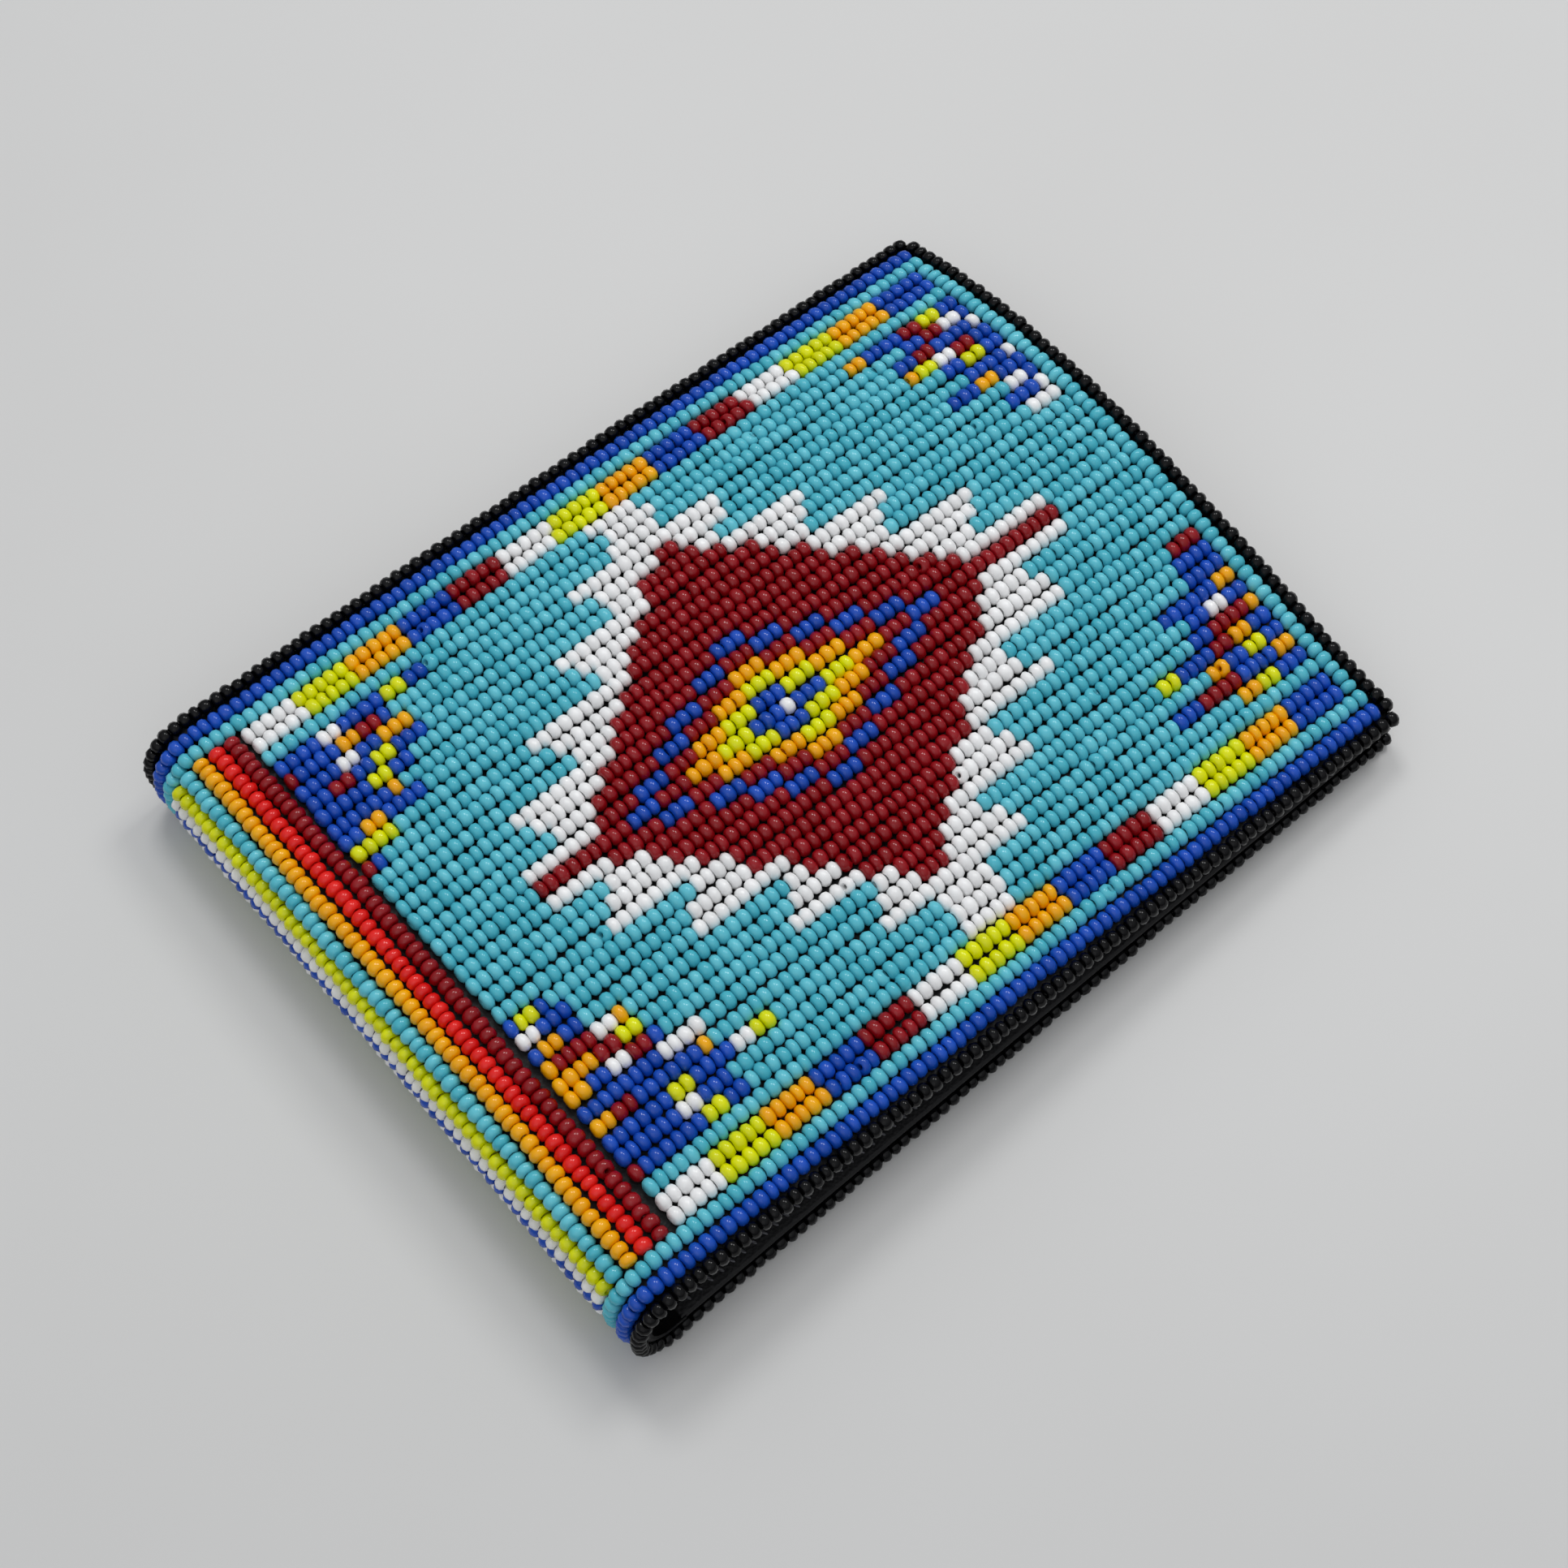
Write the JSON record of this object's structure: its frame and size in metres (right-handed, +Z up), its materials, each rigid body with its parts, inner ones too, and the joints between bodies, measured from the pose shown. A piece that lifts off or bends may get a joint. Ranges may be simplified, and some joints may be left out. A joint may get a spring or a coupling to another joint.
{
  "type": "beaded leather wallet",
  "caption": "Bifold wallet of thin black leather, covered outside with rows of glass seed beads in a diamond pattern; the front folds open on a soft beaded spine.",
  "frame": {"origin": "middle of the closed wallet's bounding box, on the surface it lies on", "axes": "+X from the fold to the open edge, +Y along the fold away from the viewer, +Z up through the front cover"},
  "size_m": [0.1122, 0.0852, 0.0153],
  "materials": {
    "cover_leather": "smooth black leather, slight sheen",
    "inner_leather": "thin black leather, smooth",
    "beads_turquoise": "opaque glossy glass seed beads",
    "beads_blue": "opaque glossy glass seed beads",
    "beads_white": "opaque glossy glass seed beads",
    "beads_red": "opaque glossy glass seed beads",
    "beads_dark_red": "opaque glossy glass seed beads",
    "beads_orange": "opaque glossy glass seed beads",
    "beads_yellow": "opaque glossy glass seed beads",
    "beads_black": "opaque glossy glass seed beads"
  },
  "bodies": {
    "back": {"back_cover": "cover_leather", "back_lining": "inner_leather", "back_card_pocket": "inner_leather", "back_edging": "beads_black", "back_bead_field": "beads_turquoise", "back_orange_row": "beads_orange", "back_red_row": "beads_red", "back_dark_red_row": "beads_dark_red"},
    "fold_lower": {"fold_lower_leather": "cover_leather", "fold_lower_turquoise_row": "beads_turquoise", "fold_lower_yellow_row": "beads_yellow", "fold_lower_end_rows_far": "beads_blue", "fold_lower_edging_far": "beads_black", "fold_lower_end_rows_near": "beads_blue", "fold_lower_edging_near": "beads_black"},
    "fold_middle": {"fold_middle_leather": "cover_leather", "fold_middle_lower_white_row": "beads_white", "fold_middle_blue_row": "beads_blue", "fold_middle_upper_white_row": "beads_white", "fold_middle_end_rows_far": "beads_blue", "fold_middle_edging_far": "beads_black", "fold_middle_end_rows_near": "beads_blue", "fold_middle_edging_near": "beads_black"},
    "fold_upper": {"fold_upper_leather": "cover_leather", "fold_upper_yellow_row": "beads_yellow", "fold_upper_turquoise_row": "beads_turquoise", "fold_upper_end_rows_far": "beads_blue", "fold_upper_edging_far": "beads_black", "fold_upper_end_rows_near": "beads_blue", "fold_upper_edging_near": "beads_black"},
    "front": {"front_cover": "cover_leather", "front_lining": "inner_leather", "front_card_pocket": "inner_leather", "front_edging": "beads_black", "front_turquoise_frame": "beads_turquoise", "front_blue_row_far": "beads_blue", "front_blue_row_near": "beads_blue", "block_border_far": "beads_white", "block_border_near": "beads_white", "field_fold_side": "beads_turquoise", "field_open_side": "beads_turquoise", "medallion_white_far": "beads_white", "medallion_white_near": "beads_white", "medallion_red_diamond": "beads_red", "medallion_blue_ring": "beads_blue", "medallion_red_ring": "beads_red", "medallion_orange_ring": "beads_orange", "medallion_yellow_ring": "beads_yellow", "medallion_blue_heart": "beads_blue", "patch_far_fold": "beads_blue", "patch_near_fold": "beads_blue", "patch_far_open": "beads_blue", "patch_near_open": "beads_blue", "front_orange_row": "beads_orange", "front_red_row": "beads_red", "front_dark_red_row": "beads_dark_red"}
  },
  "joints": [
    {"name": "crease_lower", "type": "hinge", "parent": "back", "child": "fold_lower", "pos_m": [-0.05139, 0, 0.0019], "axis": [0, -1, 0], "range_deg": [0, 45]},
    {"name": "crease_mid_lower", "type": "hinge", "parent": "fold_lower", "child": "fold_middle", "pos_m": [-0.05419, 0, 0.0047], "axis": [0, -1, 0], "range_deg": [0, 45]},
    {"name": "crease_mid_upper", "type": "hinge", "parent": "fold_middle", "child": "fold_upper", "pos_m": [-0.05419, 0, 0.01064], "axis": [0, -1, 0], "range_deg": [0, 45]},
    {"name": "crease_upper", "type": "hinge", "parent": "fold_upper", "child": "front", "pos_m": [-0.05139, 0, 0.01344], "axis": [0, -1, 0], "range_deg": [0, 45]}
  ]
}
